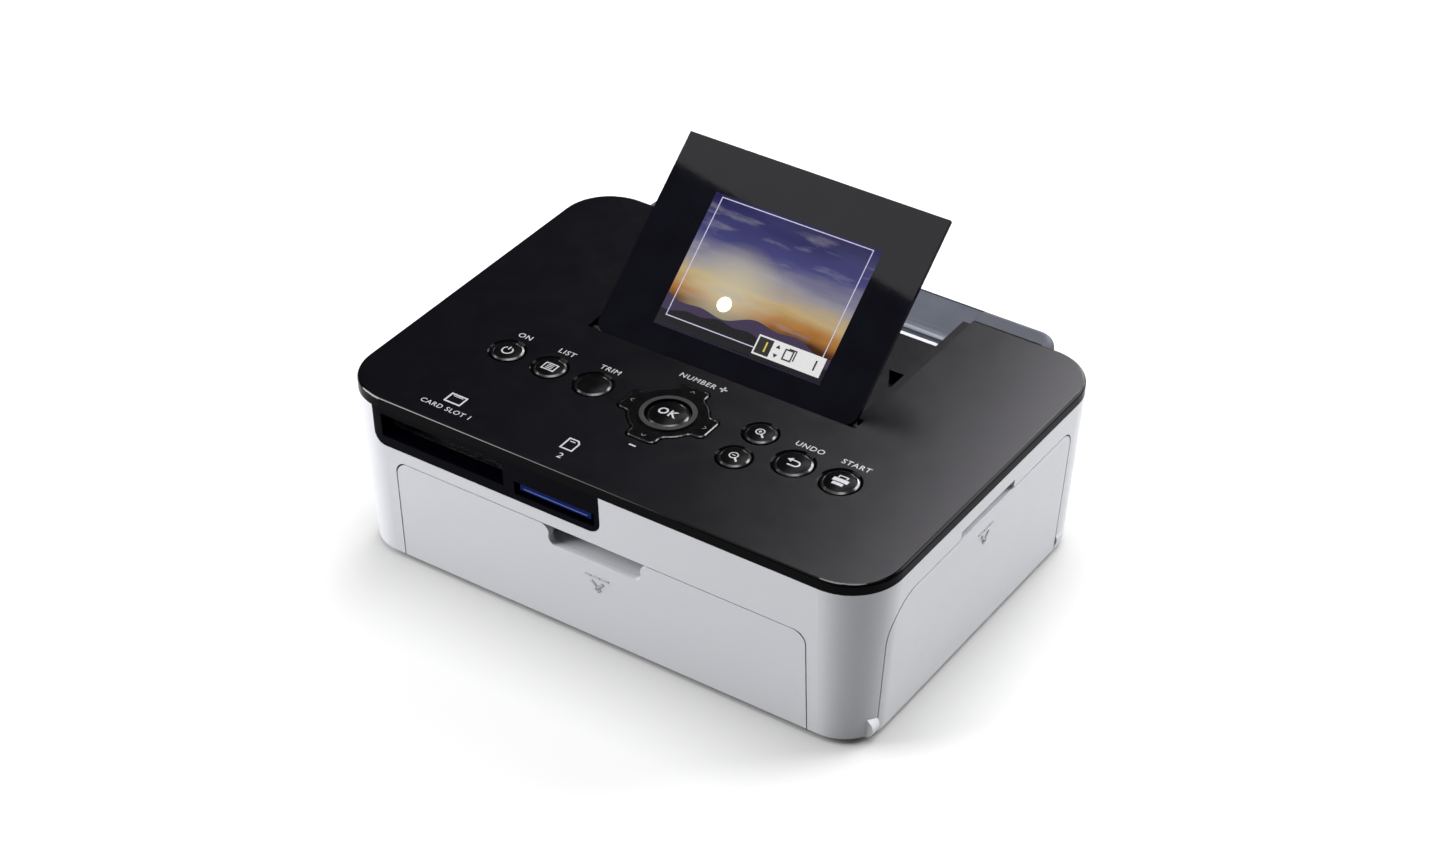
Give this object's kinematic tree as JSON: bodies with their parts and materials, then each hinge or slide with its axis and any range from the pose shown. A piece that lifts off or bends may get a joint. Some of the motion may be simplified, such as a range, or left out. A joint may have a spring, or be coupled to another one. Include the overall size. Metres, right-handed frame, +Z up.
{
  "type": "compact photo printer",
  "caption": "Compact photo printer with tapered light case, dark cover with keys, tilting screen over a well, card slots, drop-down front and side doors, and film-and-roller print works",
  "frame": {"origin": "on the floor under the middle of the whole outline, with the rear hood included; the rubber feet stand on the floor plane", "axes": "+X to the printer's right as its user sees it, +Y to its back, +Z up"},
  "size_m": [0.178, 0.135, 0.0977],
  "materials": {
    "base_grey": "fine-textured light grey plastic",
    "bezel_black": "gloss black plastic",
    "board_green": "green solder-masked circuit board",
    "button_black": "gloss black keys",
    "card_blue": "blue plastic card",
    "case_white": "satin white moulded plastic",
    "cassette_grey": "smoky grey plastic",
    "cover_black": "high-gloss black plastic",
    "display": "lit colour display under clear glass",
    "door_white": "satin white moulded plastic",
    "film_dye": "dye-coated film",
    "gear_white": "natural acetal",
    "guide_black": "black moulded paper guide",
    "head_ceramic": "glazed heater strip",
    "hood_grey": "glossy dark grey plastic",
    "mat_rubber": "translucent grey silicone rubber",
    "pin_steel": "bright drawn steel",
    "plate_steel": "zinc-plated sheet steel",
    "port_black": "black moulded connector",
    "roller_rubber": "ground black roller rubber",
    "rubber_dark": "matt dark rubber",
    "screen_black": "high-gloss black plastic",
    "sink_aluminium": "extruded aluminium",
    "socket_steel": "tinned shield plate"
  },
  "bodies": {
    "case": {"base_tray": "base_grey", "card_bezel": "bezel_black", "case_screws": "pin_steel", "case_shell": "case_white", "chassis_plate_left": "plate_steel", "chassis_plate_right": "plate_steel", "feed_motor": "socket_steel", "film_web": "film_dye", "head_bridge": "plate_steel", "idler_axles": "pin_steel", "ink_cassette_shell": "cassette_grey", "key_board": "board_green", "key_mat": "mat_rubber", "large_card_socket": "socket_steel", "main_board": "board_green", "motor_bracket": "plate_steel", "paper_guide": "guide_black", "power_inlet": "port_black", "rear_hood": "hood_grey", "rubber_feet": "rubber_dark", "side_board": "board_green", "small_card_socket": "socket_steel", "top_cover": "cover_black", "usb_port": "port_black"},
    "front_door": {"front_door": "door_white", "front_door_pins": "pin_steel"},
    "ink_door": {"ink_door": "door_white", "ink_door_pins": "pin_steel"},
    "screen": {"screen_front": "screen_black", "lcd_module": "display", "screen_back": "screen_black", "screen_pins": "pin_steel"},
    "pad_gimbal": {"pad_ring": "mat_rubber"},
    "nav_pad": {"nav_pad": "button_black"},
    "ok_button": {"ok_button": "button_black"},
    "memory_card": {"memory_card": "card_blue"},
    "print_head": {"heat_sink": "sink_aluminium", "thermal_head": "head_ceramic"},
    "platen": {"platen_shaft": "pin_steel", "platen_roller": "roller_rubber", "platen_gear": "gear_white"},
    "capstan": {"capstan_roller": "pin_steel", "capstan_gear": "gear_white"},
    "pinch_roller": {"pinch_roller": "roller_rubber"},
    "pickup_roller": {"pickup_roller": "roller_rubber"},
    "rear_idler": {"rear_idler": "gear_white"},
    "front_idler": {"front_idler": "gear_white"},
    "takeup": {"takeup_gear": "gear_white", "takeup_spool": "gear_white", "takeup_film": "film_dye"},
    "supply": {"supply_spool": "gear_white", "supply_film": "film_dye"},
    "motor_pinion": {"motor_pinion": "gear_white"},
    "power_button": {"power_button": "button_black"},
    "menu_button": {"menu_button": "button_black"},
    "edit_button": {"edit_button": "button_black"},
    "zoom_in_button": {"zoom_in_button": "button_black"},
    "zoom_out_button": {"zoom_out_button": "button_black"},
    "back_button": {"back_button": "button_black"},
    "print_button": {"print_button": "button_black"}
  },
  "joints": [
    {"name": "front_door_hinge", "type": "hinge", "parent": "case", "child": "front_door", "pos_m": [0, -0.0616, 0.0058], "axis": [1, 0, 0], "range_deg": [0, 90]},
    {"name": "ink_door_hinge", "type": "hinge", "parent": "case", "child": "ink_door", "pos_m": [0.083, -0.007, 0.005], "axis": [0, 1, 0], "range_deg": [0, 85]},
    {"name": "screen_tilt", "type": "hinge", "parent": "case", "child": "screen", "pos_m": [0, -0.0022, 0.0543], "axis": [1, 0, 0], "range_deg": [-39.9, 5]},
    {"name": "memory_card_slide", "type": "slide", "parent": "case", "child": "memory_card", "axis": [0, -1, 0], "range_m": [0, 0.034]},
    {"name": "print_head_lift", "type": "slide", "parent": "case", "child": "print_head", "axis": [0, 0, -1], "range_m": [0, 0.005], "stiffness_N_per_m": 250, "springref_m": -0.0035},
    {"name": "power_press", "type": "slide", "parent": "case", "child": "power_button", "axis": [0, 0, -1], "range_m": [0, 0.0005], "stiffness_N_per_m": 1500},
    {"name": "menu_press", "type": "slide", "parent": "case", "child": "menu_button", "axis": [0, 0, -1], "range_m": [0, 0.0005], "stiffness_N_per_m": 1500},
    {"name": "edit_press", "type": "slide", "parent": "case", "child": "edit_button", "axis": [0, 0, -1], "range_m": [0, 0.0005], "stiffness_N_per_m": 1500},
    {"name": "zoom_in_press", "type": "slide", "parent": "case", "child": "zoom_in_button", "axis": [0, 0, -1], "range_m": [0, 0.0005], "stiffness_N_per_m": 1500},
    {"name": "zoom_out_press", "type": "slide", "parent": "case", "child": "zoom_out_button", "axis": [0, 0, -1], "range_m": [0, 0.0005], "stiffness_N_per_m": 1500},
    {"name": "back_press", "type": "slide", "parent": "case", "child": "back_button", "axis": [0, 0, -1], "range_m": [0, 0.0005], "stiffness_N_per_m": 1500},
    {"name": "print_press", "type": "slide", "parent": "case", "child": "print_button", "axis": [0, 0, -1], "range_m": [0, 0.0005], "stiffness_N_per_m": 1500},
    {"name": "ok_press", "type": "slide", "parent": "case", "child": "ok_button", "axis": [0, 0, -1], "range_m": [0, 0.0004], "stiffness_N_per_m": 1500},
    {"name": "pad_rock_front_back", "type": "hinge", "parent": "case", "child": "pad_gimbal", "pos_m": [-0.0012, -0.0286, 0.054], "axis": [1, 0, 0], "range_deg": [-1.2, 1.2], "stiffness_Nm_per_rad": 0.5},
    {"name": "pad_rock_left_right", "type": "hinge", "parent": "pad_gimbal", "child": "nav_pad", "pos_m": [-0.0012, -0.0286, 0.054], "axis": [0, 1, 0], "range_deg": [-1.2, 1.2], "stiffness_Nm_per_rad": 0.5},
    {"name": "capstan_spin", "type": "hinge", "parent": "case", "child": "capstan", "pos_m": [0, 0.0435, 0.0183], "axis": [1, 0, 0], "continuous": true},
    {"name": "platen_spin", "type": "hinge", "parent": "case", "child": "platen", "pos_m": [0, 0.009, 0.0163], "axis": [1, 0, 0], "continuous": true},
    {"name": "pinch_spin", "type": "hinge", "parent": "case", "child": "pinch_roller", "pos_m": [0, 0.0435, 0.02565], "axis": [1, 0, 0], "continuous": true},
    {"name": "pickup_spin", "type": "hinge", "parent": "case", "child": "pickup_roller", "pos_m": [0, -0.034, 0.031], "axis": [1, 0, 0], "continuous": true},
    {"name": "rear_idler_spin", "type": "hinge", "parent": "case", "child": "rear_idler", "pos_m": [0, 0.02781, 0.02144], "axis": [1, 0, 0], "continuous": true},
    {"name": "front_idler_spin", "type": "hinge", "parent": "case", "child": "front_idler", "pos_m": [0, -0.00455, 0.02275], "axis": [1, 0, 0], "continuous": true},
    {"name": "takeup_spin", "type": "hinge", "parent": "case", "child": "takeup", "pos_m": [0, -0.012, 0.034], "axis": [1, 0, 0], "continuous": true},
    {"name": "supply_spin", "type": "hinge", "parent": "case", "child": "supply", "pos_m": [0, 0.03, 0.034], "axis": [1, 0, 0], "continuous": true},
    {"name": "pinion_spin", "type": "hinge", "parent": "case", "child": "motor_pinion", "pos_m": [0, 0.0435, 0.0303], "axis": [1, 0, 0], "continuous": true}
  ],
  "couplings": [
    {"joint": "pinion_spin", "follows": "capstan_spin", "ratio": -1.4},
    {"joint": "rear_idler_spin", "follows": "capstan_spin", "ratio": -0.77778},
    {"joint": "platen_spin", "follows": "capstan_spin", "ratio": 0.66667},
    {"joint": "front_idler_spin", "follows": "capstan_spin", "ratio": -1.5556},
    {"joint": "takeup_spin", "follows": "capstan_spin", "ratio": 0.77778},
    {"joint": "pinch_spin", "follows": "capstan_spin", "ratio": -1.3333},
    {"joint": "supply_spin", "follows": "capstan_spin", "ratio": 0.55556}
  ]
}
